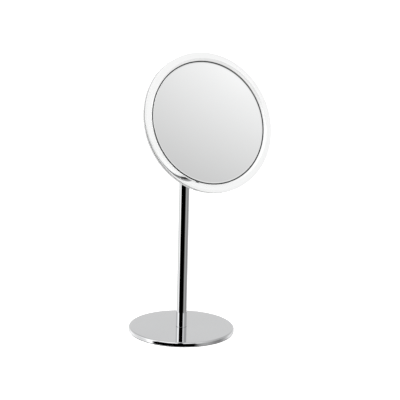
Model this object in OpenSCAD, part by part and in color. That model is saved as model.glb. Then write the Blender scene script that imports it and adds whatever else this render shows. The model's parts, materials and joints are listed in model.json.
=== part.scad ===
// Lighted vanity mirror on a pillar stand.
// Frame: origin at the centre of the underside on the table, +Z up, the glass faces -Y and leans back.
// Head parts are drawn in the head's own axes (x right, y up the glass, z out of the glass, origin at the
// centre of the glass's front edge) and placed by on_head().

/* [Stand] */
// Diameter of the base disc
base_d = 177; // [160:1:200]
// Thickness of the steel base disc
base_t = 7; // [6:0.5:9]
// Thickness of the non-slip pad under the base
pad_t = 1; // [0.8:0.1:1.5]
// Outer diameter of the pillar tube
pillar_d = 18; // [17:0.5:20]
// Wall of the pillar tube
pillar_wall = 1.5; // [1.2:0.1:1.6]
// Height of the tilt axis above the table
pivot_h = 353.8; // [320:0.2:400]
// Reach of the tilt axis in front of the pillar
reach = 31.5; // [29:0.5:34]

/* [Mirror head] */
// Diameter of the mirror glass
glass_d = 200; // [196:0.5:202]
// Thickness of the mirror glass
glass_t = 3; // [2.5:0.1:3.2]
// Radius of curvature of the concave magnifying glass
glass_r = 800; // [780:10:1600]
// Outside diameter of the clear light ring
ring_d = 230; // [226:0.5:240]
// Height of the light ring's lens-shaped front above the glass's edge
ring_crown = 4.6; // [4:0.1:6]
// Lean of the glass back from upright
tilt = 23.5; // [15:0.5:35]
// Number of light-emitting diodes in the ring
led_n = 36; // [24:2:48]

/* [Battery pod] */
// Diameter of the round battery pod
pod_d = 122; // [121:0.5:126]
// Depth of the pod behind the shell
pod_h = 15; // [15:0.5:16]
// Diameter of one battery cell
cell_d = 10.5; // [10:0.1:10.5]
// Length of one battery cell
cell_l = 44.5; // [43:0.1:44.5]
// Travel of the power button
button_travel = 0.8; // [0.5:0.1:1]

/* [Hidden] */
$fn = 96;

// stand
base_r = base_d/2;
base_top = pad_t + base_t;
tube_r = pillar_d/2;
tube_in = tube_r - pillar_wall;
tube_top = pivot_h - 24.2;
hub_z0 = tube_top + 2.4;
fit = 0.04;          // running clearance, radial

// head, z levels in the head's own axes
piv = 46;            // glass edge plane to tilt axis
gr = glass_d/2;
ring_in = gr + 1.3;
ring_r = ring_d/2;
ring_back = -5.4;
crown_a = 8.1;       // half width of the lens-shaped crown
crown_z0 = 1.25;     // where the crown meets the outer wall
sag_c = sqrt(glass_r*glass_r - gr*gr);
function glass_z(r) = sag_c - sqrt(glass_r*glass_r - r*r);
pod_r = pod_d/2;
pod_z0 = -18;
pod_z1 = pod_z0 - pod_h;
door_y0 = -51;
door_y1 = -16;
door_x = 25;
hinge_x = -door_x + 1.35;
hinge_z = pod_z1 + 1;
cell_pitch = 11;
cell_y = [-22.4, -33.4, -44.4];
cell_z = pod_z1 + 8.2;
button_y = 36;
board_z = pod_z1 + 9;

chrome_c = [0.80, 0.81, 0.82];
steel_c = [0.62, 0.63, 0.65];
black_c = [0.08, 0.08, 0.09];
white_c = [0.93, 0.93, 0.92];

module on_head() {
  translate([0, -reach, pivot_h]) rotate([90 - tilt, 0, 0]) translate([0, 0, piv]) children();
}

// a washer between two heights
module ring(ro, ri, z0, z1) {
  translate([0, 0, z0]) difference() {
    cylinder(r = ro, h = z1 - z0);
    translate([0, 0, -1]) cylinder(r = ri, h = z1 - z0 + 2);
  }
}

module hex(af, h) { cylinder(r = af/2/cos(30), h = h, $fn = 6); }

function arc(cx, cy, rx, ry, a0, a1, n) =
  [for (i = [0:n]) let(a = a0 + (a1 - a0)*i/n) [cx + rx*cos(a), cy + ry*sin(a)]];

// a pan head screw standing along +z, head on z = 0, shank below
module pan_screw(head_r, head_h, shank_r, shank_l, drive_af) {
  difference() {
    union() {
      rotate_extrude() polygon(concat([[0, 0], [head_r, 0]],
        arc(head_r - head_h*0.7, head_h*0.3, head_h*0.7, head_h*0.7, 0, 90, 8), [[0, head_h]]));
      translate([0, 0, -shank_l]) cylinder(r = shank_r, h = shank_l + 0.01, $fn = 32);
    }
    translate([0, 0, head_h*0.35]) hex(drive_af, head_h);
  }
}

// ---------------- stand ----------------
module base_pad() color(black_c)
  rotate_extrude($fn = 160) polygon([[0, 0], [base_r - 1, 0], [base_r - 0.8, 0.2], [base_r - 0.8, pad_t], [0, pad_t]]);

module base_plate() color(chrome_c)
  rotate_extrude($fn = 160) polygon(concat(
    [[4.3, base_top], [4.3, base_top - 2.4], [11, base_top - 2.4], [11, pad_t], [base_r - 0.4, pad_t], [base_r, pad_t + 0.4]],
    arc(base_r - 2.5, base_top - 2.5, 2.5, 2.5, 0, 90, 10)));

module base_screw() color(steel_c)
  translate([0, 0, base_top - 3.9]) mirror([0, 0, 1]) pan_screw(7, 2.4, 4, 21, 5);

module base_lock_washer() color(steel_c) ring(9.5, 4.3, base_top - 3.9, base_top - 2.4);

module pillar_tube() color(chrome_c) ring(tube_r, tube_in, base_top, tube_top);

module pillar_foot_plug() color(steel_c) difference() {
  translate([0, 0, base_top]) cylinder(r = tube_in, h = 28);
  translate([0, 0, base_top - 1]) cylinder(r = 4.05, h = 21);
}

module pillar_top_bush() color([0.78, 0.66, 0.38]) difference() {
  union() {
    translate([0, 0, tube_top - 24]) cylinder(r = tube_in, h = 24);
    translate([0, 0, tube_top]) cylinder(r = tube_r, h = 1.6);
  }
  translate([0, 0, tube_top - 25]) cylinder(r = 4 + fit, h = 28);
}

// ---------------- neck: turns on the pillar ----------------
module swivel_washer() color(white_c) ring(tube_r - 0.5, 4.3, tube_top + 1.65, hub_z0);

module neck_block() color(chrome_c) difference() {
  union() {
    rotate_extrude() polygon(concat(
      [[0, hub_z0], [tube_r - 0.5, hub_z0], [tube_r, hub_z0 + 0.5]],
      arc(0, pivot_h + 5, tube_r, 5.5, 0, 90, 24)));
    translate([0, 0, pivot_h]) rotate([90, 0, 0]) cylinder(r = 6.5, h = reach - 2);
    translate([-5.5, -reach, pivot_h]) rotate([0, 90, 0]) cylinder(r = 8.5, h = 11);
  }
  translate([-10, -reach, pivot_h]) rotate([0, 90, 0]) cylinder(r = 3 + fit, h = 20);
  // flats that let the arm pass between the bracket's ears
  for (s = [-1, 1]) translate([s*10.5 - 5, -reach - 10, pivot_h - 10]) cube([10, 20.5, 20]);
  translate([0, 0, hub_z0 - 1]) cylinder(r = 4, h = 14);
}

module swivel_spindle() color(steel_c) union() {
  translate([0, 0, tube_top - 24.6]) cylinder(r = 4, h = hub_z0 + 12.5 - tube_top + 24.6);
  translate([0, 0, tube_top - 33]) cylinder(r = 3, h = 9);
}

module swivel_wave_washer() color(steel_c) ring(6.4, 3.1, tube_top - 25.6, tube_top - 24.65);

module swivel_nut() color(steel_c) translate([0, 0, tube_top - 31]) difference() {
  hex(10, 5.3);
  translate([0, 0, -1]) cylinder(r = 3.02, h = 8);
}

// ---------------- tilt hinge: on the head ----------------
module tilt_washers() color(white_c) translate([0, -reach, pivot_h]) rotate([0, 90, 0]) {
  ring(7.5, 3.05, 5.6, 6.35);
  ring(7.5, 3.05, -6.35, -5.6);
}

module tilt_bolt() color(steel_c) translate([-11.4, -reach, pivot_h]) rotate([0, 90, 0]) difference() {
  union() {
    cylinder(r = 3, h = 30.3);
    rotate_extrude() polygon(concat([[0, 0.01], [0, -2.6]], arc(4.1, -1.2, 1.4, 1.4, 270, 360, 8), [[5.5, 0]]));
  }
  translate([0, 0, -3]) hex(4, 2.4);
}

module tilt_spring_washer() color(steel_c) translate([0, -reach, pivot_h]) rotate([0, 90, 0]) ring(5.4, 3.05, 11.4, 12.6);

module tilt_nut() color(chrome_c) translate([12.6, -reach, pivot_h]) rotate([0, 90, 0]) difference() {
  union() {
    hex(10, 4.6);
    rotate_extrude() polygon(concat([[0, 4.4], [4.9, 4.4]], arc(0, 4.6, 4.9, 4.6, 0, 90, 20)));
  }
  translate([0, 0, -1]) cylinder(r = 3.02, h = 7.6);
}

module tilt_bracket() color(chrome_c) on_head() difference() {
  union() {
    rotate_extrude() polygon(concat([[0, pod_z1], [17, pod_z1]],
      arc(16, pod_z1 - 2.5, 1, 1, 0, -90, 6), [[0, pod_z1 - 3.5]]));
    for (s = [-1, 1]) translate([s*8.875 - 2.525, 0, 0]) {
      translate([0, 0, -piv]) rotate([0, 90, 0]) cylinder(r = 8.5, h = 5.05);
      translate([0, -8.5, -piv]) cube([5.05, 17, piv + pod_z1 - 3.4]);
    }
  }
  translate([-20, 0, -piv]) rotate([0, 90, 0]) cylinder(r = 3.02, h = 40);
  for (a = [90, 210, 330]) rotate([0, 0, a]) translate([12.8, 0, pod_z1 - 2.9]) cylinder(r = 1.55, h = 4, $fn = 32);
}

module bracket_plate() color(steel_c) on_head() difference() {
  translate([0, 0, pod_z1 + 2]) cylinder(r = 14.95, h = 1.5);
  for (a = [90, 210, 330]) rotate([0, 0, a]) translate([12.8, 0, pod_z1 + 1]) cylinder(r = 1.6, h = 4, $fn = 32);
}

module bracket_screws() color(steel_c) on_head()
  for (a = [90, 210, 330]) rotate([0, 0, a]) translate([12.8, 0, pod_z1 + 3.5]) pan_screw(2.5, 1.8, 1.5, 6.2, 2);

// ---------------- mirror and light ring ----------------
module mirror_glass() color([0.85, 0.88, 0.90]) on_head()
  rotate_extrude($fn = 180) polygon(concat(
    [for (i = [0:40]) let(r = (gr - 0.9)*i/40) [r, glass_z(r)]],
    [[gr, -0.9]],
    [for (i = [40:-1:0]) let(r = gr*i/40) [r, glass_z(r) - glass_t]]));

module mirror_seal() color(black_c) on_head() {
  rotate_extrude($fn = 180) polygon([[gr + 0.05, -0.9], [gr + 0.12, -0.14], [gr + 1.2, -0.12], [gr + 1.2, -3.5], [gr - 3.2, -3.5],
    [gr - 3.2, glass_z(gr - 3.2) - glass_t - 0.03], [gr + 0.05, -glass_t - 0.03]]);
}

module mirror_tape() color(white_c) on_head()
  rotate_extrude() polygon(concat(
    [for (i = [0:8]) let(r = 66 + 12*i/8) [r, glass_z(r) - glass_t - 0.02]],
    [for (i = [8:-1:0]) let(r = 66 + 12*i/8) [r, glass_z(r) - glass_t - 1]]));

// front of the light ring: a 52 degree bevel up from the glass, then a shallow lens
function ring_front(r) = min(1.3*(r - ring_in),
  crown_z0 + (ring_crown - crown_z0)*sqrt(max(0, 1 - pow((r - ring_r + crown_a)/crown_a, 2))));

module light_ring() color([0.92, 0.95, 0.96, 0.45]) on_head()
  rotate_extrude($fn = 180) polygon(concat(
    [[ring_in - 6.7, -3.75], [ring_in, -3.75]],
    [for (i = [0:6]) let(r = ring_in + 0.01 + i*0.5) [r, ring_front(r)]],
    [for (i = [0:34]) let(r = ring_r - crown_a + crown_a*sin(-16 + i*106/34)) [r, ring_front(r)]],
    arc(ring_r - 0.6, ring_back + 0.6, 0.6, 0.6, 0, -90, 4),
    [[ring_in - 6.7, ring_back]]));

module reflector_film() color(white_c) on_head() ring(gr - 1, gr - 5.3, -5.7, -5.45);

module mirror_carrier() color(white_c) on_head() difference() {
  union() {
    for (a = [30:60:330]) rotate([0, 0, a]) translate([86, 0, -12.5]) cylinder(r = 3, h = 3.6, $fn = 40);
    rotate_extrude($fn = 120) polygon(concat(
    [[7, -13], [64, -13], [67, -9.5], [95, -9.5], [95, -8], [98, -7.6], [98, -5.75], [94.4, -5.75], [94.4, -6.95],
     [83, -6.95], [83, -6.2], [80, -6.2], [79, glass_z(78) - glass_t - 1.02]],
    [for (i = [8:-1:0]) let(r = 66 + 12*i/8) [r, glass_z(r) - glass_t - 1.02]],
    [[62, -11], [7, -11]]));
  }
  // pilot holes for the shell screws
  for (a = [30:60:330]) rotate([0, 0, a]) translate([86, 0, -14]) cylinder(r = 1.3, h = 6.6, $fn = 32);
  // way through for the lamp leads
  rotate([0, 0, 60]) translate([88, 0, -10]) cylinder(r = 2.4, h = 4, $fn = 32);
}

module led_board() color([0.95, 0.95, 0.92]) on_head() ring(93.8, 84, -6.9, -5.7);

module leds() color([0.98, 0.94, 0.75]) on_head()
  for (i = [0:led_n - 1]) rotate([0, 0, 360*i/led_n + 5]) {
    translate([91.6, -1.75, -5.68]) cube([1.9, 3.5, 1.25]);
  }

// ---------------- rear shell and pod ----------------
function bez(p0, p1, p2, p3, n) = [for (i = [0:n]) let(t = i/n, u = 1 - t)
  u*u*u*p0 + 3*u*u*t*p1 + 3*u*t*t*p2 + t*t*t*p3];

module rear_shell() color(chrome_c) on_head() difference() {
  rotate_extrude($fn = 160) polygon(concat(
    [[99.15, -5.5], [100.6, -5.5], [100.6, -6.2]],
    bez([100.4, -6.9], [98.6, -11.5], [94, -13.6], [86, -14.7], 16),
    [[60.5, -18], [50, -18], [50, -16.4], [60.4, -16.4]],
    bez([85.8, -13.2], [92.5, -12.2], [96.6, -10.6], [98.6, -7.0], 16)));
  for (a = [45:90:315]) rotate([0, 0, a]) translate([54, 0, -19]) cylinder(r = 1.7, h = 4, $fn = 32);
  for (a = [30:60:330]) rotate([0, 0, a]) translate([86, 0, -18]) cylinder(r = 1.7, h = 8, $fn = 32);
  for (a = [30:60:330]) rotate([0, 0, a]) translate([86, 0, -18]) cylinder(r = 3.2, h = 3.6, $fn = 40);
}

module shell_screws() color(steel_c) on_head()
  for (a = [30:60:330]) rotate([0, 0, a]) translate([86, 0, -14.4]) mirror([0, 0, 1]) pan_screw(2.8, 1.6, 1.25, 6, 2);

module rear_pod() color(chrome_c) on_head() difference() {
  union() {
    difference() {
      rotate_extrude($fn = 160) polygon(concat(
        [[0, pod_z1]], arc(pod_r - 4, pod_z1 + 4, 4, 4, -90, 0, 12), [[pod_r, pod_z0], [0, pod_z0]]));
      rotate_extrude($fn = 160) polygon(concat(
        [[0, pod_z1 + 2]], arc(pod_r - 5, pod_z1 + 5, 3, 3, -90, 0, 8), [[pod_r - 2, pod_z0 + 1], [0, pod_z0 + 1]]));
    }
    for (a = [45:90:315]) rotate([0, 0, a]) translate([54, 0, pod_z0 - 8]) cylinder(r = 3.2, h = 8, $fn = 40);
    for (a = [45:90:315]) rotate([0, 0, a]) translate([54, -1, pod_z0 - 8]) cube([6, 2, 8]);
    for (x = [-24, 24]) translate([x, 30, pod_z1 + 1]) cylinder(r = 2.6, h = board_z - pod_z1 - 1, $fn = 40);
  }
  for (a = [45:90:315]) rotate([0, 0, a]) translate([54, 0, pod_z0 - 7]) cylinder(r = 1.3, h = 9, $fn = 32);
  for (x = [-24, 24]) translate([x, 30, pod_z1 + 3]) cylinder(r = 1.0, h = 9, $fn = 32);
  // door opening, button hole, bracket screw holes
  translate([-door_x, door_y0, pod_z1 - 1]) cube([2*door_x, door_y1 - door_y0, 4]);
  translate([hinge_x, door_y0 - 1.4, hinge_z]) rotate([-90, 0, 0]) cylinder(r = 0.6 + fit, h = door_y1 - door_y0 + 2.8, $fn = 32);
  translate([0, button_y, pod_z1 - 1]) cylinder(r = 8.2, h = 4);
  for (a = [90, 210, 330]) rotate([0, 0, a]) translate([12.8, 0, pod_z1 - 1]) cylinder(r = 1.7, h = 4, $fn = 32);
}

module pod_screws() color(steel_c) on_head()
  for (a = [45:90:315]) rotate([0, 0, a]) translate([54, 0, -16.4]) pan_screw(2.8, 1.6, 1.25, 7, 2);

// ---------------- battery bay ----------------
module battery_tray() color(black_c) on_head() difference() {
  intersection() {
    translate([-26.6, -51.3, pod_z1 + 2.05]) cube([53.2, 36.2, 12.55]);
    cylinder(r = pod_r - 4.6, h = 100, center = true);
  }
  translate([-25.4, -50.2, pod_z1 + 1]) cube([50.8, 34, 12.55]);
  for (x = [-26.7, 25.3]) for (i = [0:2]) translate([x, cell_y[i] - 1.5, cell_z - 1.5]) cube([1.4, 3, 3]);
}

module batteries() color([0.20, 0.22, 0.25]) on_head()
  for (i = [0:2]) translate([(i % 2 == 0 ? 1 : -1)*2.0, cell_y[i], cell_z]) mirror([i % 2, 0, 0]) {
    translate([-cell_l/2 , 0, 0]) rotate([0, 90, 0]) cylinder(r = cell_d/2, h = cell_l - 0.8);
    translate([cell_l/2 - 0.9, 0, 0]) rotate([0, 90, 0]) cylinder(r = 1.9, h = 0.9, $fn = 40);
  }

module contact_plates() color([0.80, 0.79, 0.74]) on_head() {
  for (x = [-25.3, 24.9]) for (i = [0:2])
    translate([x, cell_y[i] - 4.5, cell_z - 4.5]) cube([0.4, 9, 9]);
  for (i = [0:2]) translate([(i % 2 == 0 ? 1 : -1)*24.62 - 0.3, cell_y[i], cell_z]) rotate([0, 90, 0]) cylinder(r = 2.4, h = 0.6, $fn = 40);
}

// a conical coil spring along +x, computed turn by turn
module coil(len, r0, r1, wire, turns) {
  n = 14*turns; k = 6;
  pts = [for (i = [0:n]) for (j = [0:k - 1])
    let(t = i/n, a = 360*turns*t, r = r0 + (r1 - r0)*t, b = 360*j/k)
    [wire/2 + (len - wire)*t + wire/2*sin(b), (r + wire/2*cos(b))*cos(a), (r + wire/2*cos(b))*sin(a)]];
  faces = concat([[for (j = [0:k - 1]) j]], [[for (j = [k - 1:-1:0]) n*k + j]],
    [for (i = [0:n - 1]) for (j = [0:k - 1]) [i*k + j, (i + 1)*k + j, (i + 1)*k + (j + 1) % k]],
    [for (i = [0:n - 1]) for (j = [0:k - 1]) [i*k + j, (i + 1)*k + (j + 1) % k, i*k + (j + 1) % k]]);
  polyhedron(pts, faces);
}

module contact_springs() color([0.80, 0.79, 0.74]) on_head()
  for (i = [0:2]) mirror([i % 2, 0, 0]) translate([-24.85, cell_y[i], cell_z]) coil(4.45, 3.6, 2.2, 0.6, 4);

// ---------------- driver board and switch ----------------
module driver_board() color([0.10, 0.36, 0.20]) on_head() difference() {
  translate([-29, 23, board_z]) cube([58, 24, 1.6]);
  for (x = [-24, 24]) translate([x, 30, board_z - 1]) cylinder(r = 1.2, h = 4, $fn = 32);
}

module board_parts() color([0.12, 0.12, 0.13]) on_head() {
  translate([-20, 40, board_z + 1.6]) cube([5, 4, 1.5]);
  translate([10, 27, board_z + 1.6]) cube([6, 6, 2.4]);
  translate([17.5, 39, board_z + 1.6]) cylinder(r = 2.5, h = 2.4, $fn = 40);
  translate([-10, 26, board_z + 1.6]) cube([3, 1.6, 0.8]);
  translate([-4, 26, board_z + 1.6]) cube([3, 1.6, 0.8]);
  translate([2, 26, board_z + 1.6]) cube([3, 1.6, 0.8]);
}

module board_screws() color(steel_c) on_head()
  for (x = [-24, 24]) translate([x, 30, board_z + 1.6]) pan_screw(2.2, 1.4, 0.95, 6, 1.6);

module switch_body() color(black_c) on_head() difference() {
  translate([-3, button_y - 3, board_z - 3.5]) cube([6, 6, 3.5]);
  translate([0, button_y, board_z - 4]) cylinder(r = 1.75, h = 3, $fn = 40);
}

module switch_plunger() color([0.75, 0.2, 0.15]) on_head()
  translate([0, button_y, board_z - 5.2]) cylinder(r = 1.7, h = 2.8, $fn = 40);

module button_collar() color(steel_c) on_head() translate([0, button_y, 0]) {
  ring(8.2, 6.7, pod_z1 - 0.5, pod_z1 + 2);
}

module power_button() color(black_c) on_head() translate([0, button_y, 0]) union() {
  rotate_extrude() polygon(concat(
    [[0, pod_z1 + 1.4], [0, pod_z1 - 1.3], [2.2, pod_z1 - 1.34], [4.4, pod_z1 - 1.48]],
    arc(5.6, pod_z1 - 0.7, 0.8, 0.8, 270, 360, 6), [[6.4, pod_z1 + 1.4]]));
  translate([0, 0, pod_z1 + 1.3]) cylinder(r = 6.4, h = 0.8);
  translate([0, 0, pod_z1 + 2.06]) cylinder(r = 7.8, h = 0.94);
  translate([0, 0, pod_z1 + 2.9]) cylinder(r = 2.2, h = board_z - 5.2 - pod_z1 - 2.9, $fn = 40);
}

// a round lead swept along a few points, eight sides, mitred at each point
function unit(v) = v/norm(v);
module lead(pts, r) {
  n = len(pts); k = 8;
  ring_pts = [for (i = [0:n - 1]) let(
      a = unit(pts[max(i, 1)] - pts[max(i, 1) - 1]),
      b = unit(pts[min(i + 1, n - 1)] - pts[min(i + 1, n - 1) - 1]),
      t = unit(a + b), c = sqrt((1 + a*b)/2),
      u = unit(cross([1, 0.2, 0.1], t)), w = cross(t, u))
    for (j = [0:k - 1]) pts[i] + r/max(c, 0.7)*(cos(360*j/k)*u + sin(360*j/k)*w)];
  faces = concat([[for (j = [k - 1:-1:0]) j]], [[for (j = [0:k - 1]) (n - 1)*k + j]],
    [for (i = [0:n - 2]) for (j = [0:k - 1]) [i*k + j, i*k + (j + 1) % k, (i + 1)*k + (j + 1) % k]],
    [for (i = [0:n - 2]) for (j = [0:k - 1]) [i*k + j, (i + 1)*k + (j + 1) % k, (i + 1)*k + j]]);
  polyhedron(ring_pts, faces);
}

module supply_wires() color([0.7, 0.1, 0.1]) on_head() {
  for (s = [-1, 1]) lead([[s*29.2, 26, board_z + 0.8], [s*33, 24, board_z + 1.4], [s*37, 18, board_z + 1.6], [s*38, 0, board_z + 1.6],
    [s*37, -18, board_z + 1.6], [s*33, -23, cell_z + 3.4], [s*29, -24, cell_z + 1], [s*26.9, -24, cell_z]], 0.6);
}

module led_wires() color([0.85, 0.85, 0.82]) on_head()
  for (s = [-1, 1]) lead([for (q = [[46, board_z + 1.7], [46, board_z + 3.6], [48, -16.4], [51, -15.2], [60, -14.4],
    [74, -12.2], [84.5, -11.1], [87.4, -10], [88, -7]])
    [q[0]*cos(60) - s*1.1*sin(60), q[0]*sin(60) + s*1.1*cos(60), q[1]]], 0.5);

// ---------------- battery door ----------------
module battery_door() color(chrome_c) on_head() difference() {
  union() {
    translate([hinge_x, door_y0 + 0.35, pod_z1]) cube([door_x - 0.35 - hinge_x, door_y1 - door_y0 - 0.7, 1.9]);
    translate([hinge_x, door_y0 + 0.35, hinge_z]) rotate([-90, 0, 0]) cylinder(r = 1, h = door_y1 - door_y0 - 0.7);
  }
  translate([hinge_x, door_y0, hinge_z]) rotate([-90, 0, 0]) cylinder(r = 0.6, h = door_y1 - door_y0, $fn = 32);
  // finger notch
  translate([door_x - 1.0, (door_y0 + door_y1)/2, pod_z1 - 4.6]) sphere(r = 5.6, $fn = 48);
}

module door_hinge_pin() color(steel_c) on_head()
  translate([hinge_x, door_y0 - 1.2, hinge_z]) rotate([-90, 0, 0]) cylinder(r = 0.6, h = door_y1 - door_y0 + 2.4, $fn = 32);

base_pad();
base_plate();
base_screw();
base_lock_washer();
pillar_tube();
pillar_foot_plug();
pillar_top_bush();
swivel_washer();
neck_block();
swivel_spindle();
swivel_wave_washer();
swivel_nut();
tilt_washers();
tilt_bolt();
tilt_spring_washer();
tilt_nut();
tilt_bracket();
bracket_plate();
bracket_screws();
mirror_glass();
mirror_seal();
mirror_tape();
light_ring();
reflector_film();
mirror_carrier();
led_board();
leds();
rear_shell();
shell_screws();
rear_pod();
pod_screws();
battery_tray();
batteries();
contact_plates();
contact_springs();
driver_board();
board_parts();
board_screws();
switch_body();
power_button();
switch_plunger();
button_collar();
supply_wires();
led_wires();
battery_door();
door_hinge_pin();
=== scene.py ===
import json
import math
from math import cos, sin, radians, pi, sqrt

import bmesh
import bpy
from mathutils import Matrix, Vector


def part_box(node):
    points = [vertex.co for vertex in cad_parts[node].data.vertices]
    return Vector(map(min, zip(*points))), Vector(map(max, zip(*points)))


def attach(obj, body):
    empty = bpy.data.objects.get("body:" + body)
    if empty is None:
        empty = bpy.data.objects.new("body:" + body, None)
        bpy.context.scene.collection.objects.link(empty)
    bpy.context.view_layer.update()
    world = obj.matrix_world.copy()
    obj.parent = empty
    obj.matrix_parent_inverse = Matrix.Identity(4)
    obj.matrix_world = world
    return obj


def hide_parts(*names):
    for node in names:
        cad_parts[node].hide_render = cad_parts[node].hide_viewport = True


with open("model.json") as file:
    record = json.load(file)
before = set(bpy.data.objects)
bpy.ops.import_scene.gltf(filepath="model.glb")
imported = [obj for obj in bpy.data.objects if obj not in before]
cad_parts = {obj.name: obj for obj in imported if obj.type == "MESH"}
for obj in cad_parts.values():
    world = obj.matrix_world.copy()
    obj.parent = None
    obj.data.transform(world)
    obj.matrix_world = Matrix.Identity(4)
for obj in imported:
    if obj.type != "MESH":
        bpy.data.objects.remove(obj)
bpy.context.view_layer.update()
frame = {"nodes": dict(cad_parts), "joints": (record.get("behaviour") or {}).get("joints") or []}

scene = bpy.context.scene
MM = 0.001
JOINT = {j["name"]: j for j in frame["joints"]}

# ------------------------------------------------------------------ camera
AZ, EL, ROLL = radians(-30.443), radians(14.345), radians(1.406)
DIST, LENS_PX = 3.0, 0.605 * 3000
back = Vector((sin(AZ) * cos(EL), -cos(AZ) * cos(EL), sin(EL)))
right = Vector((cos(AZ), sin(AZ), 0.0))
up = back.cross(right)
cam_x = right * cos(ROLL) + up * sin(ROLL)
cam_y = -right * sin(ROLL) + up * cos(ROLL)
cam_data = bpy.data.cameras.new("camera")
cam = bpy.data.objects.new("camera", cam_data)
scene.collection.objects.link(cam)
cam.matrix_world = Matrix.Translation(right * 0.026304 + Vector((0, 0, 0.227308)) + back * DIST) @ Matrix(
    (cam_x, cam_y, back)
).transposed().to_4x4()
cam_data.sensor_width = 36.0
cam_data.lens = LENS_PX / 400.0 * 36.0
cam_data.clip_start, cam_data.clip_end = 0.05, 100.0
cam_data.dof.use_dof = False
scene.camera = cam

# ------------------------------------------------------------------ the head's own axes
PIVOT = Vector(JOINT["head_tilt"]["pos_m"])
FACE = Vector(JOINT["power_button_press"]["axis"]).normalized()  # out of the glass
GLASS_TO_PIVOT = 46.0
HEAD = Matrix.Translation(PIVOT + FACE * (GLASS_TO_PIVOT * MM)) @ Matrix(
    (Vector((1, 0, 0)), FACE.cross(Vector((1, 0, 0))), FACE)
).transposed().to_4x4()
ROW = Matrix.Identity(4)


# ------------------------------------------------------------------ mesh helpers (profiles in mm)
def arc(cx, cy, rx, ry, a0, a1, n):
    return [
        (cx + rx * cos(radians(a0 + (a1 - a0) * i / n)), cy + ry * sin(radians(a0 + (a1 - a0) * i / n)))
        for i in range(n + 1)
    ]


def bez(p0, p1, p2, p3, n):
    out = []
    for i in range(n + 1):
        t = i / n
        u = 1 - t
        out.append(
            tuple(u * u * u * a + 3 * u * u * t * b + 3 * u * t * t * c + t * t * t * d for a, b, c, d in zip(p0, p1, p2, p3))
        )
    return out


def fillet(pts, closed=True, n=5, guard=0.35):
    """Rounds each (x, y, radius) corner, with a guard point each side so that the flats beside it shade flat."""
    out = []
    m = len(pts)
    for i in range(m):
        x, y, r = (tuple(pts[i]) + (0,))[:3]
        if r <= 0 or (not closed and i in (0, m - 1)):
            out.append((x, y))
            continue
        a, b = pts[(i - 1) % m], pts[(i + 1) % m]
        va = Vector((a[0] - x, a[1] - y))
        vb = Vector((b[0] - x, b[1] - y))
        la, lb = va.length, vb.length
        va.normalize(), vb.normalize()
        ang = va.angle(vb)
        if ang > pi - 0.02:
            out.append((x, y))
            continue
        t = min(r / math.tan(ang / 2), la * 0.49, lb * 0.49)
        rr = t * math.tan(ang / 2)
        pa, pb = Vector((x, y)) + va * t, Vector((x, y)) + vb * t
        c = Vector((x, y)) + (va + vb).normalized() * (rr / sin(ang / 2))
        if la - t > guard * 2.2:
            out.append(tuple(pa + va * min(guard, rr)))
        a0 = math.atan2(pa.y - c.y, pa.x - c.x)
        a1 = math.atan2(pb.y - c.y, pb.x - c.x)
        d = (a1 - a0 + pi) % (2 * pi) - pi
        for k in range(n + 1):
            q = a0 + d * k / n
            out.append((c.x + rr * cos(q), c.y + rr * sin(q)))
        if lb - t > guard * 2.2:
            out.append(tuple(pb + vb * min(guard, rr)))
    return out


def link(name, me, mats, matrix):
    o = bpy.data.objects.new(name, me)
    scene.collection.objects.link(o)
    me.transform(matrix)
    for m in mats if isinstance(mats, (list, tuple)) else [mats]:
        me.materials.append(m)
    return o


def tidy(me, sharp=38.0):
    b = bmesh.new()
    b.from_mesh(me)
    bmesh.ops.remove_doubles(b, verts=b.verts, dist=1e-7)
    bmesh.ops.dissolve_degenerate(b, edges=b.edges, dist=1e-8)
    bmesh.ops.recalc_face_normals(b, faces=b.faces)
    for f in b.faces:
        f.smooth = True
    for e in b.edges:
        e.smooth = not (len(e.link_faces) == 2 and e.calc_face_angle(0) > radians(sharp))
    b.to_mesh(me)
    b.free()
    me.update()


def lathe(name, prof, mats, matrix=HEAD, seg=192, closed=True, sharp=38.0, slot_of=None):
    """Revolves an (r, z) outline in mm about the matrix's z axis."""
    verts, faces = [], []
    n = len(prof)
    for i in range(seg):
        a = 2 * pi * i / seg
        for r, z in prof:
            verts.append((r * cos(a) * MM, r * sin(a) * MM, z * MM))
    for i in range(seg):
        j = (i + 1) % seg
        for k in range(n if closed else n - 1):
            q = (k + 1) % n
            if prof[k][0] < 1e-9 and prof[q][0] < 1e-9:
                continue
            faces.append((i * n + k, j * n + k, j * n + q, i * n + q))
    me = bpy.data.meshes.new(name)
    me.from_pydata(verts, [], faces)
    if slot_of:
        for p in me.polygons:
            c = p.center / MM
            p.material_index = slot_of(sqrt(c.x * c.x + c.y * c.y), c.z)
    o = link(name, me, mats, matrix)
    tidy(me, sharp)
    return o


def apply_modifiers(o):
    dg = bpy.context.evaluated_depsgraph_get()
    me = bpy.data.meshes.new_from_object(o.evaluated_get(dg))
    old = o.data
    o.modifiers.clear()
    o.data = me
    me.name = old.name
    bpy.data.meshes.remove(old)
    return o


def boolean(o, others, op="DIFFERENCE"):
    for c in others:
        m = o.modifiers.new("b", "BOOLEAN")
        m.operation, m.solver, m.object = op, "EXACT", c
    apply_modifiers(o)
    for c in others:
        me = c.data
        bpy.data.objects.remove(c)
        bpy.data.meshes.remove(me)
    return o


def bevel(o, width_mm, seg=3, angle=35.0):
    m = o.modifiers.new("bevel", "BEVEL")
    m.width, m.segments, m.limit_method, m.angle_limit = width_mm * MM, seg, "ANGLE", radians(angle)
    m.use_clamp_overlap = True
    m.harden_normals = False
    m.miter_outer = "MITER_ARC"
    apply_modifiers(o)
    return o


def weighted(o):
    m = o.modifiers.new("wn", "WEIGHTED_NORMAL")
    m.keep_sharp = True
    m.weight = 50
    return apply_modifiers(o)


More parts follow.
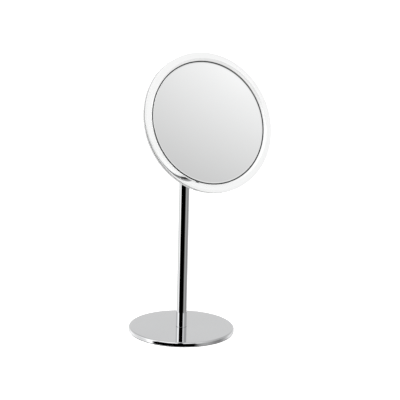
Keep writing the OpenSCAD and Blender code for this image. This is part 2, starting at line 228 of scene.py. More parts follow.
def rounded_plate(name, x0, y0, x1, y1, z0, z1, corner, edge, mats, matrix=HEAD, n=6):
    """A plate with rounded corners and softly broken edges."""
    outline = fillet([(x0, y0, corner), (x1, y0, corner), (x1, y1, corner), (x0, y1, corner)], n=n, guard=0)
    cx, cy = (x0 + x1) / 2, (y0 + y1) / 2

    def inset(d):
        return fillet(
            [(x0 + d, y0 + d, max(corner - d, 0.05)), (x1 - d, y0 + d, max(corner - d, 0.05)), (x1 - d, y1 - d, max(corner - d, 0.05)), (x0 + d, y1 - d, max(corner - d, 0.05))],
            n=n,
            guard=0,
        )

    loops = []
    k = 4
    for i in range(k + 1):
        a = pi / 2 * i / k
        loops.append((inset(edge * (1 - sin(a))), z0 + edge * (1 - cos(a))))
    for i in range(k + 1):
        a = pi / 2 * i / k
        loops.append((inset(edge * (1 - cos(a))), z1 - edge * (1 - sin(a))))
    b = bmesh.new()
    rows = [[b.verts.new((x * MM, y * MM, z * MM)) for x, y in pts] for pts, z in loops]
    m = len(rows[0])
    for r in range(len(rows) - 1):
        for i in range(m):
            j = (i + 1) % m
            b.faces.new((rows[r][i], rows[r][j], rows[r + 1][j], rows[r + 1][i]))
    b.faces.new(list(reversed(rows[0])))
    b.faces.new(rows[-1])
    me = bpy.data.meshes.new(name)
    b.to_mesh(me)
    b.free()
    o = link(name, me, mats, matrix)
    tidy(me, 50)
    return o


# ------------------------------------------------------------------ materials
def new_mat(name):
    m = bpy.data.materials.new(name)
    m.use_nodes = True
    nt = m.node_tree
    return m, nt, nt.nodes["Principled BSDF"]


def coords(nt, scale=(1, 1, 1), rot=(0, 0, 0)):
    tc = nt.nodes.new("ShaderNodeTexCoord")
    mp = nt.nodes.new("ShaderNodeMapping")
    mp.inputs["Scale"].default_value = scale
    mp.inputs["Rotation"].default_value = rot
    nt.links.new(tc.outputs["Object"], mp.inputs["Vector"])
    return mp.outputs["Vector"]


def noise(nt, vec, scale, detail=3.0, rough=0.5, lac=2.0, distort=0.0):
    n = nt.nodes.new("ShaderNodeTexNoise")
    n.inputs["Scale"].default_value = scale
    n.inputs["Detail"].default_value = detail
    n.inputs["Roughness"].default_value = rough
    n.inputs["Lacunarity"].default_value = lac
    n.inputs["Distortion"].default_value = distort
    nt.links.new(vec, n.inputs["Vector"])
    return n.outputs["Fac"]


def remap(nt, v, a, b, c, d):
    n = nt.nodes.new("ShaderNodeMapRange")
    n.interpolation_type = "SMOOTHSTEP"
    for k, x in (("From Min", a), ("From Max", b), ("To Min", c), ("To Max", d)):
        n.inputs[k].default_value = x
    nt.links.new(v, n.inputs["Value"])
    return n.outputs["Result"]


def math_node(nt, op, a, b=0.0, c=None):
    n = nt.nodes.new("ShaderNodeMath")
    n.operation = op
    for i, x in enumerate((a, b) if c is None else (a, b, c)):
        if isinstance(x, (int, float)):
            n.inputs[i].default_value = x
        else:
            nt.links.new(x, n.inputs[i])
    return n.outputs[0]


def mix_col(nt, fac, ca, cb):
    n = nt.nodes.new("ShaderNodeMix")
    n.data_type = "RGBA"
    n.inputs["A"].default_value = (*ca, 1)
    n.inputs["B"].default_value = (*cb, 1)
    nt.links.new(fac, n.inputs["Factor"])
    return n.outputs["Result"]


def bump(nt, h, strength, dist):
    n = nt.nodes.new("ShaderNodeBump")
    n.inputs["Strength"].default_value = strength
    n.inputs["Distance"].default_value = dist
    nt.links.new(h, n.inputs["Height"])
    return n.outputs["Normal"]


def polished(name, col, rough=(0.02, 0.055), tint=0.02, lines=(1, 1, 1), line_scale=900.0, bump_s=0.012):
    """Mirror-polished plated metal: faint wipe haze, hairline buffing marks and a slight colour drift."""
    m, nt, p = new_mat(name)
    p.inputs["Metallic"].default_value = 1.0
    v = coords(nt)
    haze = noise(nt, v, 38.0, 4.0, 0.55)
    fine = noise(nt, coords(nt, lines), line_scale, 2.0, 0.5)
    r = remap(nt, haze, 0.35, 0.75, rough[0], rough[1])
    r = math_node(nt, "ADD", r, remap(nt, fine, 0.55, 0.8, 0.0, rough[1] * 0.35))
    nt.links.new(r, p.inputs["Roughness"])
    c = mix_col(nt, remap(nt, noise(nt, v, 9.0, 2.0), 0.3, 0.7, 0, 1), tuple(x * (1 - tint) for x in col), col)
    nt.links.new(c, p.inputs["Base Color"])
    nt.links.new(bump(nt, fine, bump_s, 0.00004), p.inputs["Normal"])
    return m


def brushed(name, col, rough=(0.22, 0.38), lines=(1, 1, 40), scale=160.0, metallic=1.0, bump_s=0.15):
    m, nt, p = new_mat(name)
    p.inputs["Metallic"].default_value = metallic
    fine = noise(nt, coords(nt, lines), scale, 3.0, 0.6)
    spots = noise(nt, coords(nt), 300.0, 4.0, 0.6)
    nt.links.new(remap(nt, fine, 0.3, 0.7, rough[0], rough[1]), p.inputs["Roughness"])
    nt.links.new(mix_col(nt, remap(nt, spots, 0.4, 0.75, 0, 1), col, tuple(x * 0.84 for x in col)), p.inputs["Base Color"])
    nt.links.new(bump(nt, fine, bump_s, 0.00008), p.inputs["Normal"])
    return m


def moulded(name, col, rough=(0.42, 0.55), grain=2600.0, bump_s=0.12, dark=0.9, coat=0.0, dist=0.00006):
    """Moulded plastic or rubber: fine spark-eroded grain, soft colour drift and handling shine."""
    m, nt, p = new_mat(name)
    v = coords(nt)
    g = noise(nt, v, grain, 3.0, 0.6)
    soft = noise(nt, v, 30.0, 3.0)
    nt.links.new(remap(nt, soft, 0.3, 0.7, rough[0], rough[1]), p.inputs["Roughness"])
    nt.links.new(mix_col(nt, remap(nt, soft, 0.3, 0.75, 0, 1), col, tuple(x * dark for x in col)), p.inputs["Base Color"])
    nt.links.new(bump(nt, g, bump_s, dist), p.inputs["Normal"])
    if coat:
        p.inputs["Coat Weight"].default_value = coat
        p.inputs["Coat Roughness"].default_value = 0.08
    return m


CHROME = (0.62, 0.625, 0.632)
chrome_base = polished("chrome_base", CHROME, lines=(1, 1, 30), line_scale=700.0, rough=(0.015, 0.04))
chrome_pillar = polished("chrome_pillar", CHROME, lines=(1, 1, 0.03), line_scale=900.0, rough=(0.012, 0.035))
chrome_cast = polished("chrome_cast", CHROME, rough=(0.02, 0.06))
chrome_shell = polished("chrome_shell", (0.60, 0.605, 0.615), rough=(0.03, 0.075), bump_s=0.02)
silver = polished("mirror_silver", (0.90, 0.905, 0.905), rough=(0.0, 0.006), tint=0.006, line_scale=500.0, bump_s=0.0)
# near-black glass rim: painted shade standing in for the dark gap between the glass and the seal, not the grey-green of
# a ground glass edge
glass_rim_shade = moulded("glass_rim_painted_shade", (0.06, 0.075, 0.07), rough=(0.3, 0.42), grain=5000, bump_s=0.1, coat=0.1)
back_paint = moulded("mirror_back_paint", (0.30, 0.31, 0.33), rough=(0.5, 0.6), grain=900, bump_s=0.25)
steel = brushed("turned_steel", (0.62, 0.63, 0.65))
steel_screw = brushed("screw_steel", (0.60, 0.61, 0.63), rough=(0.16, 0.3), lines=(1, 1, 1), scale=900.0, bump_s=0.08)
nickel = brushed("nickel_plate", (0.74, 0.73, 0.68), rough=(0.16, 0.28), lines=(1, 1, 1), scale=500.0, bump_s=0.05)
brass = brushed("bush_brass", (0.78, 0.62, 0.32), rough=(0.2, 0.32), lines=(1, 1, 40), scale=300.0)
pad_rubber = moulded("pad_rubber", (0.028, 0.028, 0.03), rough=(0.7, 0.85), grain=1500, bump_s=0.5, dist=0.00015)
seal_rubber = moulded("seal_rubber", (0.012, 0.012, 0.013), rough=(0.5, 0.62), grain=2500, bump_s=0.2)
nylon = moulded("nylon", (0.80, 0.80, 0.77), rough=(0.35, 0.5))
white_plastic = moulded("white_abs", (0.82, 0.82, 0.81), rough=(0.35, 0.5))
film_white = moulded("reflector_film", (0.90, 0.90, 0.89), rough=(0.25, 0.4), bump_s=0.03)
tape_foam = moulded("tape_foam", (0.72, 0.72, 0.70), rough=(0.8, 0.9), grain=3500, bump_s=0.6, dist=0.0002)
black_plastic = moulded("black_abs", (0.022, 0.022, 0.024), rough=(0.4, 0.52))
button_plastic = moulded("button_plastic", (0.020, 0.020, 0.022), rough=(0.38, 0.5), grain=3200, bump_s=0.2)
plunger_red = moulded("plunger_plastic", (0.48, 0.03, 0.02), rough=(0.35, 0.5))
chip_black = moulded("chip_epoxy", (0.03, 0.03, 0.032), rough=(0.5, 0.65), grain=6000)
wire_red = moulded("wire_red", (0.42, 0.02, 0.015), rough=(0.35, 0.45), bump_s=0.03)
wire_pale = moulded("wire_pale", (0.66, 0.66, 0.62), rough=(0.35, 0.45), bump_s=0.03)
led_dome = moulded("led_phosphor", (0.90, 0.76, 0.30), rough=(0.2, 0.35), grain=7000, bump_s=0.1, coat=0.6)
board_white = moulded("board_white_mask", (0.84, 0.84, 0.82), rough=(0.2, 0.34), coat=0.4, bump_s=0.04)


def board_green_material():
    m, nt, p = new_mat("board_green_mask")
    tc = nt.nodes.new("ShaderNodeTexCoord")
    tracks = nt.nodes.new("ShaderNodeTexBrick")
    tracks.inputs["Scale"].default_value = 260.0
    tracks.inputs["Mortar Size"].default_value = 0.10
    tracks.inputs["Color1"].default_value = (0, 0, 0, 1)
    tracks.inputs["Color2"].default_value = (0, 0, 0, 1)
    tracks.inputs["Mortar"].default_value = (1, 1, 1, 1)
    nt.links.new(tc.outputs["Object"], tracks.inputs["Vector"])
    nt.links.new(mix_col(nt, tracks.outputs["Color"], (0.012, 0.085, 0.04), (0.02, 0.14, 0.06)), p.inputs["Base Color"])
    p.inputs["Roughness"].default_value = 0.28
    nt.links.new(bump(nt, tracks.outputs["Fac"], 0.3, 0.00005), p.inputs["Normal"])
    return m


def cell_material():
    """A battery sleeve: bare steel can ends, a coloured band and a printed-film gloss, across the cell's length."""
    m, nt, p = new_mat("cell_sleeve")
    tc = nt.nodes.new("ShaderNodeTexCoord")
    sep = nt.nodes.new("ShaderNodeSeparateXYZ")
    nt.links.new(tc.outputs["Object"], sep.inputs[0])
    ax = math_node(nt, "ABSOLUTE", sep.outputs["X"])
    band = remap(nt, sep.outputs["X"], 0.0080, 0.0082, 0, 1)
    sleeve = mix_col(nt, band, (0.035, 0.04, 0.05), (0.55, 0.30, 0.05))
    end = remap(nt, ax, 0.0196, 0.0197, 0, 1)
    n = nt.nodes.new("ShaderNodeMix")
    n.data_type = "RGBA"
    n.inputs["B"].default_value = (0.62, 0.61, 0.58, 1)
    nt.links.new(end, n.inputs["Factor"])
    nt.links.new(sleeve, n.inputs["A"])
    nt.links.new(n.outputs["Result"], p.inputs["Base Color"])
    nt.links.new(end, p.inputs["Metallic"])
    nt.links.new(remap(nt, noise(nt, coords(nt), 400.0), 0.3, 0.7, 0.22, 0.34), p.inputs["Roughness"])
    nt.links.new(bump(nt, noise(nt, coords(nt), 700.0), 0.05, 0.0001), p.inputs["Normal"])
    return m


def acrylic_material():
    m, nt, p = new_mat("clear_acrylic")
    p.inputs["Base Color"].default_value = (1.0, 1.0, 1.0, 1)
    p.inputs["Transmission Weight"].default_value = 1.0
    p.inputs["IOR"].default_value = 1.49
    v = coords(nt)
    nt.links.new(remap(nt, noise(nt, v, 45.0, 4.0), 0.45, 0.8, 0.0, 0.004), p.inputs["Roughness"])
    tint = mix_col(nt, remap(nt, noise(nt, v, 14.0, 2.0), 0.3, 0.7, 0, 1), (0.985, 0.992, 0.99), (1.0, 1.0, 1.0))
    nt.links.new(tint, p.inputs["Base Color"])
    return m


board_green = board_green_material()
cell_sleeve = cell_material()
acrylic = acrylic_material()

# CAD nodes that stay: each gets its material by name
KEEP = {
    "base_screw": steel_screw, "base_lock_washer": steel, "pillar_foot_plug": steel, "pillar_top_bush": brass,
    "swivel_washer": nylon, "swivel_spindle": steel, "swivel_wave_washer": steel,
    "swivel_nut": steel_screw, "tilt_spring_washer": steel,
    "bracket_plate": steel, "bracket_screws": steel_screw,
    "mirror_tape": tape_foam, "reflector_film": film_white, "mirror_carrier": white_plastic, "led_board": board_white,
    "leds": led_dome, "shell_screws": steel_screw, "pod_screws": steel_screw, "battery_tray": black_plastic,
    "batteries": cell_sleeve, "contact_plates": nickel, "contact_springs": nickel, "driver_board": board_green,
    "board_parts": chip_black, "board_screws": steel_screw, "switch_body": black_plastic, "switch_plunger": plunger_red,
    "supply_wires": wire_red, "led_wires": wire_pale, "door_hinge_pin": steel,
}
for name, material in KEEP.items():
    o = frame["nodes"][name]
    o.data.materials.clear()
    o.data.materials.append(material)


def stand_for(o, node, body):
    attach(o, body)
    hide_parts(node)
    return o


# ------------------------------------------------------------------ stand
lo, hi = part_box("base_plate")
BASE_R, BASE_TOP, PAD_T = hi.x / MM, hi.z / MM, lo.z / MM
lo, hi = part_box("pillar_tube")
TUBE_R, TUBE_TOP = hi.x / MM, hi.z / MM

pad = lathe("non_slip_pad", fillet([(0, 0), (BASE_R - 0.8, 0, 0.3), (BASE_R - 0.8, PAD_T), (0, PAD_T)], n=3), pad_rubber, ROW, 256)
stand_for(pad, "base_pad", "base")

disc = lathe(
    "base_disc",
    fillet(
        [(4.3, BASE_TOP), (4.3, BASE_TOP - 2.4), (11, BASE_TOP - 2.4), (11, PAD_T), (BASE_R - 0.4, PAD_T, 0.15), (BASE_R, PAD_T + 0.4, 0.2),
         (BASE_R, BASE_TOP, 2.5)],
        n=12, guard=0.3,
    ),
    chrome_base, ROW, 320, sharp=60,
)
stand_for(disc, "base_plate", "base")

TUBE_IN = TUBE_R - 1.5
pillar = lathe(
    "pillar",
    fillet([(TUBE_IN, BASE_TOP), (TUBE_R - 0.7, BASE_TOP), (TUBE_R - 0.7, BASE_TOP + 0.6), (TUBE_R, BASE_TOP + 0.6, 0.1), (TUBE_R, TUBE_TOP, 0.4), (TUBE_IN, TUBE_TOP)], n=4, guard=0.5),
    chrome_pillar, ROW, 128, sharp=60,
)
stand_for(pillar, "pillar_tube", "base")

# ------------------------------------------------------------------ neck and tilt hinge
REACH, PIVOT_Z = -PIVOT.y / MM, PIVOT.z / MM
HUB_Z0 = TUBE_TOP + 2.4
ALONG_X = Matrix.Translation(PIVOT) @ Matrix.Rotation(pi / 2, 4, "Y")  # local z runs along the tilt axis
ALONG_Y = Matrix.Translation((0, 0, PIVOT.z)) @ Matrix.Rotation(pi / 2, 4, "X")  # local z runs from pillar to hinge
FIT = 0.04

neck = lathe(
    "neck_block_cast",
    fillet([(0, HUB_Z0), (TUBE_R, HUB_Z0, 0.5), (TUBE_R, PIVOT_Z + 5)], closed=False, n=5, guard=0.5)
    + arc(0, PIVOT_Z + 5, TUBE_R, 5.5, 3, 90, 28),
    chrome_cast, ROW, 160, closed=False,
)
arm = lathe("cut", [(0, 0.5), (6.5, 0.5), (6.5, REACH - 4), (0, REACH - 4)], [], ALONG_Y, 128)
knuckle = lathe("cut", fillet([(0, -5.5), (8.5, -5.5, 0.6), (8.5, 5.5, 0.6), (0, 5.5)], n=6, guard=0.3), [], ALONG_X, 160)
for part in (arm, knuckle):
    boolean(neck, [part], "UNION")


def block(name, x0, y0, z0, x1, y1, z1, matrix=ROW):
    me = bpy.data.meshes.new(name)
    b = bmesh.new()
    bmesh.ops.create_cube(b, size=1.0)
    for v in b.verts:
        v.co = Vector((x0 + (v.co.x + 0.5) * (x1 - x0), y0 + (v.co.y + 0.5) * (y1 - y0), z0 + (v.co.z + 0.5) * (z1 - z0))) * MM
    b.to_mesh(me)
    b.free()
    return link(name, me, [], matrix)


boolean(neck, [
    lathe("cut", [(0, -12), (3 + FIT, -12), (3 + FIT, 12), (0, 12)], [], ALONG_X, 96),
    lathe("cut", [(0, HUB_Z0 - 1), (4, HUB_Z0 - 1), (4, HUB_Z0 + 13), (0, HUB_Z0 + 13)], [], ROW, 96),
    block("cut", 5.5, -REACH - 10, PIVOT_Z - 10, 15.5, -REACH + 10.5, PIVOT_Z + 10),
    block("cut", -15.5, -REACH - 10, PIVOT_Z - 10, -5.5, -REACH + 10.5, PIVOT_Z + 10),
])
bevel(neck, 0.3, 3, 40)
tidy(neck.data, 40)
weighted(neck)
stand_for(neck, "neck_block", "neck")

bolt = lathe(
    "tilt_bolt_turned",
    [(0, -2.6)] + arc(4.1, -1.2, 1.4, 1.4, 270, 360, 12) + fillet([(5.5, -1.0), (5.5, 0, 0.2), (3, 0), (3, 30.3, 0.4), (0, 30.3)], closed=False, n=4, guard=0.2)[1:],
    steel_screw, Matrix.Translation(PIVOT) @ Matrix.Rotation(pi / 2, 4, "Y") @ Matrix.Translation((0, 0, -11.4 * MM)), 128,
)
AF4 = 2.0 / cos(radians(30))
socket = lathe("cut", [(0, -3), (AF4, -3), (AF4, -0.6), (0, -0.6)], [], Matrix.Translation(PIVOT) @ Matrix.Rotation(pi / 2, 4, "Y") @ Matrix.Translation((0, 0, -11.4 * MM)), 6)
boolean(bolt, [socket])
bevel(bolt, 0.12, 2, 40)
tidy(bolt.data, 35)
weighted(bolt)
stand_for(bolt, "tilt_bolt", "head")

NUT = Matrix.Translation(PIVOT) @ Matrix.Rotation(pi / 2, 4, "Y") @ Matrix.Translation((0, 0, 12.6 * MM))
AF10 = 5.0 / cos(radians(30))
nut = lathe("tilt_nut_domed", [(0, 0), (AF10, 0), (AF10, 4.6), (0, 4.6)], chrome_cast, NUT, 6)
boolean(nut, [lathe("cut", [(0, -0.01), (5.25, -0.01), (AF10 + 0.02, 0.42), (AF10 + 0.02, 4.05), (5.0, 4.61), (0, 4.61)], [], NUT, 96)], "INTERSECT")
boolean(nut, [lathe("cut", [(0, 4.3), (4.9, 4.3)] + arc(0, 4.6, 4.9, 4.6, 0, 90, 32)[:-1] + [(0, 9.2)], [], NUT, 96, closed=False)], "UNION")
boolean(nut, [lathe("cut", [(0, -1), (3.02, -1), (3.02, 6.6), (0, 6.6)], [], NUT, 64)])
bevel(nut, 0.14, 2, 25)
tidy(nut.data, 30)
weighted(nut)
stand_for(nut, "tilt_nut", "head")

# bracket: a round foot screwed to the pod and two ears
POD_BACK = -33.0


def ear(x0, x1):
    """A lug with a round end about the tilt axis, its edges rolled over."""
    edge, k = 0.6, 5

    def outline(d):
        pts = [(8.5 - d, POD_BACK - 2.5)] + [((8.5 - d) * cos(radians(t)), -GLASS_TO_PIVOT + (8.5 - d) * sin(radians(t))) for t in range(0, -181, -5)] + [(-8.5 + d, POD_BACK - 2.5)]
        return pts

    loops = [(outline(edge * (1 - sin(pi / 2 * i / k))), x0 + edge * (1 - cos(pi / 2 * i / k))) for i in range(k + 1)]
    loops += [(outline(edge * (1 - cos(pi / 2 * i / k))), x1 - edge * (1 - sin(pi / 2 * i / k))) for i in range(k + 1)]
    b = bmesh.new()
    rows = [[b.verts.new((x * MM, y * MM, z * MM)) for y, z in pts] for pts, x in loops]
    m = len(rows[0])
    for a, c in zip(rows, rows[1:]):
        for i in range(m):
            j = (i + 1) % m
            b.faces.new((a[i], a[j], c[j], c[i]))
    b.faces.new(list(reversed(rows[0])))
    b.faces.new(rows[-1])
    me = bpy.data.meshes.new("ear")
    b.to_mesh(me)
    b.free()
    o = link("ear", me, [], HEAD)
    tidy(me, 50)
    return o


bracket = lathe(
    "tilt_bracket_cast",
    fillet([(0, POD_BACK), (17, POD_BACK, 0.15), (17, POD_BACK - 3.5, 1.0), (0, POD_BACK - 3.5)], closed=False, n=6, guard=0.4),
    chrome_cast, HEAD, 160, closed=False,
)
boolean(bracket, [ear(6.35, 11.4)], "UNION")
boolean(bracket, [ear(-11.4, -6.35)], "UNION")
cuts = [lathe("cut", [(0, -14), (3.02, -14), (3.02, 14), (0, 14)], [], ALONG_X, 96)]
for a in (90, 210, 330):
    at = HEAD @ Matrix.Rotation(radians(a), 4, "Z") @ Matrix.Translation((12.8 * MM, 0, 0))
    cuts.append(lathe("cut", [(0, POD_BACK - 2.9), (1.55, POD_BACK - 2.9), (1.55, POD_BACK + 1), (0, POD_BACK + 1)], [], at, 48))
boolean(bracket, cuts)
bevel(bracket, 0.25, 3, 40)
tidy(bracket.data, 40)
weighted(bracket)
stand_for(bracket, "tilt_bracket", "head")

for name, side in (("tilt_washer_right", 1), ("tilt_washer_left", -1)):
    w = lathe(name, fillet([(3.05, 5.6, 0.1), (7.5, 5.6, 0.15), (7.5, 6.35, 0.15), (3.05, 6.35, 0.1)], n=3, guard=0.05), nylon,
              ALONG_X if side == 1 else Matrix.Translation(PIVOT) @ Matrix.Rotation(-pi / 2, 4, "Y"), 96, sharp=50)
    stand_for(w, "tilt_washers", "head")

# ------------------------------------------------------------------ mirror glass, seal and light ring
GR, GT, RC = 100.0, 3.0, 800.0
ZC = sqrt(RC * RC - GR * GR)


def gz(r):
    return ZC - sqrt(RC * RC - r * r)


RIM = GR - 1.1
glass = lathe(
    "mirror_pane",
    [(RIM * i / 56, gz(RIM * i / 56)) for i in range(57)]
    + [(RIM + 0.12, gz(RIM) - 0.03), (GR - 0.62, -0.42), (GR - 0.14, -0.86)] + arc(GR - 0.3, -1.1, 0.3, 0.3, 45, 0, 3)
    + [(GR, -1.4), (GR, -2.6)] + arc(GR - 0.3, -2.7, 0.3, 0.3, 0, -90, 3)
    + [(GR * i / 40, gz(GR * i / 40) - GT) for i in range(39, -1, -1)],
    [silver, glass_rim_shade, back_paint], HEAD, 288, sharp=25,
    # slot 1, the pane's outer rim, carries the near-black painted shade of the gap at the seal
    slot_of=lambda r, z: 0 if z > gz(min(r, GR)) - 0.8 and r < GR - 0.6 else (1 if r > GR - 0.7 and z > -2.95 else 2),
)
stand_for(glass, "mirror_glass", "head")

seal = lathe(
    "glass_seal",
    fillet([(GR + 0.05, -0.9), (GR + 0.12, -0.14, 0.1), (GR + 1.2, -0.12, 0.12), (GR + 1.2, -3.5), (GR - 3.2, -3.5), (GR - 3.2, gz(GR - 3.2) - GT - 0.03), (GR + 0.05, -GT - 0.03)], n=3, guard=0.1),
    seal_rubber, HEAD, 256,
)
stand_for(seal, "mirror_seal", "head")

RING_IN, RING_R, RING_BACK = GR + 1.3, 115.0, -5.4
CROWN_A, CROWN_Z0, CROWN = 8.1, 1.25, 4.6


def ring_front(r, k=0.35):
    """The ring's front: a 52 degree bevel up from the glass, blended into a shallow lens."""
    bev = 1.3 * (r - RING_IN)
    lens = CROWN_Z0 + (CROWN - CROWN_Z0) * sqrt(max(0.0, 1 - ((r - RING_R + CROWN_A) / CROWN_A) ** 2))
    h = min(max(0.5 + 0.5 * (lens - bev) / k, 0.0), 1.0)
    return lens * (1 - h) + bev * h - k * h * (1 - h)


BEVEL_END = RING_IN + 3.36
front = [(RING_IN + 0.08, -0.05)] + [(RING_IN + 0.16 + 2.4 * i / 6, ring_front(RING_IN + 0.16 + 2.4 * i / 6)) for i in range(7)]
front += [(BEVEL_END - 0.7 + 1.4 * i / 14, ring_front(BEVEL_END - 0.7 + 1.4 * i / 14)) for i in range(15)]
t0 = math.degrees(math.asin((BEVEL_END + 0.8 - RING_R + CROWN_A) / CROWN_A))
for i in range(61):
    r = RING_R - CROWN_A + CROWN_A * sin(radians(t0 + (90 - t0) * i / 60))
    front.append((r, ring_front(r)))
ring = lathe(
    "light_ring_clear",
    [(RING_IN - 6.7, -3.75), (RING_IN - 0.3, -3.75), (RING_IN, -3.45), (RING_IN, -0.2)]
    + front
    + [(RING_R, -1.0), (RING_R, RING_BACK + 0.9)]
    + arc(RING_R - 0.6, RING_BACK + 0.6, 0.6, 0.6, 0, -90, 8)
    + [(RING_R - 1.0, RING_BACK), (RING_IN - 6.7, RING_BACK)],
    acrylic, HEAD, 320, sharp=40,
)
stand_for(ring, "light_ring", "head")

# ------------------------------------------------------------------ rear shell and pod
shell = lathe(
    "rear_shell_cover",
    [(99.15, -5.5), (100.4, -5.5), (100.55, -5.6), (100.6, -5.75), (100.6, -6.2)]
    + bez((100.4, -6.9), (98.6, -11.5), (94, -13.6), (86, -14.7), 32)
    + [(80, -14.7 - 3.3 * 6 / 25.5), (64, -14.7 - 3.3 * 22 / 25.5), (61.5, -17.9)]
    + [(60.5, -18), (50, -18), (50, -16.4), (60.4, -16.4)]
    + bez((85.8, -13.2), (92.5, -12.2), (96.6, -10.6), (98.6, -7.0), 20),
    chrome_shell, HEAD, 288, sharp=45,
)
recess = []
for i in range(6):
    at = HEAD @ Matrix.Rotation(radians(30 + 60 * i), 4, "Z") @ Matrix.Translation((86 * MM, 0, 0))
    recess.append(lathe("cut", [(0, -19), (3.2, -19), (3.2, -14.4), (1.7, -14.4), (1.7, -10), (0, -10)], [], at, 64))
boolean(shell, recess)
bevel(shell, 0.18, 2, 40)
tidy(shell.data, 32)
weighted(shell)
stand_for(shell, "rear_shell", "head")

POD_R, POD_Z0, POD_Z1 = 61.0, -18.0, -33.0
pod = lathe(
    "battery_pod",
    [(0, POD_Z1), (POD_R - 5.2, POD_Z1), (POD_R - 4.3, POD_Z1)]
    + arc(POD_R - 4, POD_Z1 + 4, 4, 4, -90, 0, 20)
    + [(POD_R, POD_Z1 + 5), (POD_R, POD_Z0 - 0.5), (POD_R - 0.25, POD_Z0 - 0.12), (POD_R - 0.6, POD_Z0), (POD_R - 2, POD_Z0)]
    + [(POD_R - 2, POD_Z1 + 5)] + arc(POD_R - 5, POD_Z1 + 5, 3, 3, 0, -90, 10)
    + [(0, POD_Z1 + 2)],
    chrome_shell, HEAD, 256, sharp=45,
)


def cutter_box(x0, y0, z0, x1, y1, z1, corner=0.0):
    if corner:
        return rounded_plate("cut", x0, y0, x1, y1, z0, z1, corner, 0.02, [], HEAD)
    me = bpy.data.meshes.new("cut")
    b = bmesh.new()
    bmesh.ops.create_cube(b, size=1.0)
    for v in b.verts:
        v.co = Vector((x0 + (v.co.x + 0.5) * (x1 - x0), y0 + (v.co.y + 0.5) * (y1 - y0), z0 + (v.co.z + 0.5) * (z1 - z0))) * MM
    b.to_mesh(me)
    b.free()
    return link("cut", me, [], HEAD)


DX, DY0, DY1 = 25.0, -51.0, -16.0
BUTTON_Y = 36.0
hole = lathe("cut", [(0, POD_Z1 - 2), (8.2, POD_Z1 - 2), (8.2, POD_Z1 + 4), (0, POD_Z1 + 4)], [], HEAD @ Matrix.Translation((0, BUTTON_Y * MM, 0)), 96)
boolean(pod, [cutter_box(-DX, DY0, POD_Z1 - 2, DX, DY1, POD_Z1 + 4), hole])
bevel(pod, 0.2, 2, 60)
tidy(pod.data, 40)
weighted(pod)
stand_for(pod, "rear_pod", "head")

HX = -DX + 1.35
door = rounded_plate("battery_door_cover", HX - 1.0, DY0 + 0.35, DX - 0.35, DY1 - 0.35, POD_Z1, POD_Z1 + 1.95, 0.9, 0.35, chrome_shell)
ball = lathe("cut", [(5.6 * sin(radians(t)), -5.6 * cos(radians(t))) for t in range(0, 181, 5)], [], HEAD @ Matrix.Translation(((DX - 1.0) * MM, (DY0 + DY1) / 2 * MM, (POD_Z1 - 4.6) * MM)), 64, closed=False)
boolean(door, [ball])
tidy(door.data, 30)
weighted(door)
stand_for(door, "battery_door", "battery_door")

collar = lathe(
    "button_bezel",
    fillet([(6.7, POD_Z1 - 0.5, 0.25), (6.7, POD_Z1 + 2), (8.2, POD_Z1 + 2), (8.2, POD_Z1 - 0.1, 0.05), (7.9, POD_Z1 - 0.5, 0.25)], n=4, guard=0.1),
    steel_screw, HEAD @ Matrix.Translation((0, BUTTON_Y * MM, 0)), 96, sharp=50,
)
stand_for(collar, "button_collar", "head")

BZ = POD_Z1 + 9
button = lathe(
    "button_cap",
    [(0, POD_Z1 - 1.05), (1.2, POD_Z1 - 1.08), (2.6, POD_Z1 - 1.2), (3.8, POD_Z1 - 1.36), (4.6, POD_Z1 - 1.46), (5.2, POD_Z1 - 1.5)]
    + arc(5.7, POD_Z1 - 0.8, 0.7, 0.7, 270, 360, 6)
    + [(6.4, POD_Z1 + 2.06), (7.8, POD_Z1 + 2.06), (7.8, POD_Z1 + 3.0), (2.2, POD_Z1 + 3.0), (2.2, BZ - 5.2), (0, BZ - 5.2)],
    button_plastic, HEAD @ Matrix.Translation((0, BUTTON_Y * MM, 0)), 96, sharp=50,
)
stand_for(button, "power_button", "power_button")

# ------------------------------------------------------------------ stage and light
floor_me = bpy.data.meshes.new("floor")
floor_me.from_pydata([(-30, -30, 0), (30, -30, 0), (30, 30, 0), (-30, 30, 0)], [], [(0, 1, 2, 3)])
floor_m, nt, p = new_mat("floor_paper")
p.inputs["Base Color"].default_value = (0.9, 0.9, 0.9, 1)
nt.links.new(mix_col(nt, noise(nt, coords(nt), 0.6), (0.90, 0.90, 0.90), (0.91, 0.91, 0.91)), p.inputs["Base Color"])
p.inputs["Roughness"].default_value = 0.9
p.inputs["Specular IOR Level"].default_value = 0.0
p.inputs["Emission Color"].default_value = (1, 1, 1, 1)
p.inputs["Emission Strength"].default_value = 0.62
floor = link("floor", floor_me, floor_m, ROW)
floor.location.z = -0.0002
floor.visible_glossy = False
floor.visible_transmission = False

world = bpy.data.worlds.new("studio")
scene.world = world
world.use_nodes = True
nt = world.node_tree
bg = nt.nodes["Background"]
tc = nt.nodes.new("ShaderNodeTexCoord")


def dot(vec):
    n = nt.nodes.new("ShaderNodeVectorMath")
    n.operation = "DOT_PRODUCT"
    n.inputs[1].default_value = vec
    nt.links.new(tc.outputs["Generated"], n.inputs[0])
    return n.outputs["Value"]


around = math_node(nt, "ARCTAN2", dot(right), dot(Vector((sin(AZ), -cos(AZ), 0))))  # radians, 0 at the dark flag's side
lift = math_node(nt, "ARCSINE", dot(Vector((0, 0, 1))))


def ramp(stops):
    """Brightness against bearing in degrees, from -180 to 180."""
    n = nt.nodes.new("ShaderNodeFloatCurve")
    n.inputs["Factor"].default_value = 1.0
    c = n.mapping.curves[0]
    pts = [((a + 180) / 360, v / 4) for a, v in stops]
    while len(c.points) < len(pts):
        c.points.new(0.5, 0.5)
    for q, (x, y) in zip(c.points, pts):
        q.location = (x, y)
        q.handle_type = "VECTOR"
    n.mapping.use_clip = False
    n.mapping.update()
    t = math_node(nt, "MULTIPLY_ADD", around, 1 / (2 * pi), 0.5)
    nt.links.new(t, n.inputs["Value"])
    return math_node(nt, "MULTIPLY", n.outputs["Value"], 4.0)


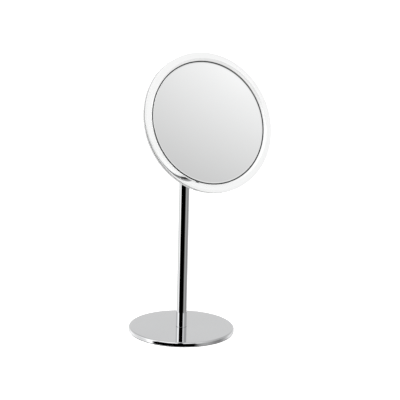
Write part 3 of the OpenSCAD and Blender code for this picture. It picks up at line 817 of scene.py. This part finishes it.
low = ramp([(-180, 0.93), (-158, 0.95), (-146, 1.3), (-134, 1.4), (-118, 1.2), (-98, 1.06), (-84, 1.2), (-74, 1.75), (-66, 1.8), (-63, 0.8), (-60, 0.0),
            (30, 0.0), (35, 0.18), (42, 0.42), (50, 0.56), (60, 0.58), (70, 0.48), (80, 0.37), (94, 0.33), (110, 0.62), (130, 1.12), (146, 1.02), (160, 0.9), (180, 0.93)])
mid = ramp([(-180, 0.75), (-140, 0.78), (-115, 0.9), (-88, 1.4), (-74, 2.1), (-58, 2.1), (-55, 1.0), (-52, 0.0),
            (30, 0.0), (34, 1.0), (37, 1.6), (46, 1.5), (50, 0.96), (53, 0.93), (60, 0.85), (78, 0.68), (95, 0.62), (130, 0.70), (180, 0.75)])
high = ramp([(-180, 0.75), (-140, 0.78), (-115, 0.85), (-85, 1.1), (-60, 1.5), (-30, 1.5), (-9, 1.3), (-6, 0.0), (5, 0.0), (8, 1.3), (30, 1.3), (37, 1.1), (44, 0.97), (51, 0.935), (60, 0.85), (78, 0.68), (95, 0.62), (130, 0.70), (180, 0.75)])
lift_deg = math_node(nt, "MULTIPLY", lift, 180 / pi)
to_mid = remap(nt, lift_deg, 1.0, 9.0, 0.0, 1.0)
to_high = remap(nt, lift_deg, 23.0, 28.0, 0.0, 1.0)
fade = math_node(nt, "MULTIPLY_ADD", lift_deg, -0.0135, 1.42)
fade = math_node(nt, "MINIMUM", math_node(nt, "MAXIMUM", fade, 0.78), 1.22)
top = remap(nt, lift_deg, 41.0, 57.0, 0.0, 0.5)


def lerp(f, a, b):
    return math_node(nt, "ADD", math_node(nt, "MULTIPLY", math_node(nt, "SUBTRACT", 1.0, f), a), math_node(nt, "MULTIPLY", f, b))


upper = math_node(nt, "MULTIPLY", lerp(to_high, mid, high), math_node(nt, "ADD", fade, top))
light = lerp(to_mid, low, upper)
lp = nt.nodes.new("ShaderNodeLightPath")
light = lerp(lp.outputs["Is Camera Ray"], light, 0.992)
nt.links.new(light, bg.inputs["Strength"])
bg.inputs["Color"].default_value = (1, 1, 1, 1)

key_data = bpy.data.lights.new("key", "AREA")
key_data.shape, key_data.size, key_data.size_y, key_data.energy = "RECTANGLE", 1.6, 1.2, 12.0
key = bpy.data.objects.new("key", key_data)
scene.collection.objects.link(key)
key.location = (-1.6, -1.2, 2.2)
key.rotation_euler = (Vector((0, 0, 0.3)) - Vector(key.location)).to_track_quat("-Z", "Y").to_euler()
key.visible_glossy = False
key.visible_transmission = False

scene.view_settings.view_transform = "Standard"
scene.view_settings.look = "None"
scene.view_settings.exposure = 0.0
scene.view_settings.gamma = 1.0
scene.cycles.max_bounces = 24
scene.cycles.transmission_bounces = 24
scene.cycles.glossy_bounces = 12
scene.cycles.transparent_max_bounces = 12
scene.cycles.caustics_reflective = True
scene.cycles.caustics_refractive = True
scene.cycles.blur_glossy = 0.0
scene.cycles.sample_clamp_indirect = 6.0
